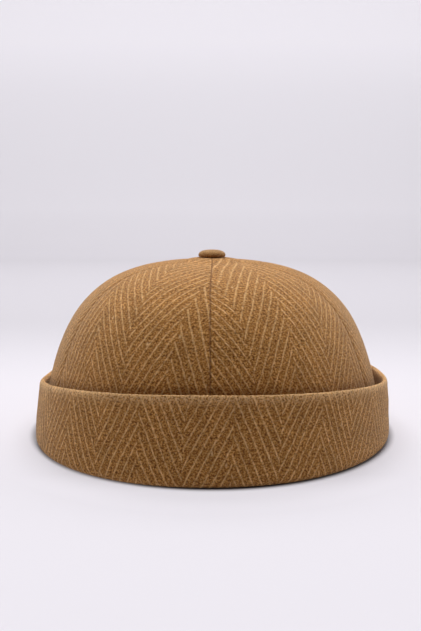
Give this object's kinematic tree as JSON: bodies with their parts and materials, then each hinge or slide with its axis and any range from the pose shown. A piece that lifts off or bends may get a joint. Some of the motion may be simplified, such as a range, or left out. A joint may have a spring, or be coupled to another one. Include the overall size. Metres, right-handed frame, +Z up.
{
  "type": "docker hat",
  "caption": "Brimless round hat of herringbone wool: a gored domed crown, a deep turned-up cuff around the open head opening and a cloth-covered button on the apex.",
  "frame": {"origin": "on the surface that the hat rests on, below the middle of its length and width", "axes": "+Z up, -Y towards the front of the hat, +X towards the right as the front is looked at"},
  "size_m": [0.1836, 0.2146, 0.0937],
  "materials": {
    "crown_cloth": "brushed herringbone wool in two browns, matt",
    "cuff_cloth": "the same herringbone wool, doubled and turned up",
    "button_cloth": "the same wool stretched over a button"
  },
  "bodies": {
    "root": {"crown_gore_front_left": "crown_cloth", "crown_gore_front_right": "crown_cloth", "crown_gore_side_left": "crown_cloth", "crown_gore_side_right": "crown_cloth", "crown_gore_back_left": "crown_cloth", "crown_gore_back_right": "crown_cloth", "cuff": "cuff_cloth", "button": "button_cloth"}
  },
  "joints": []
}
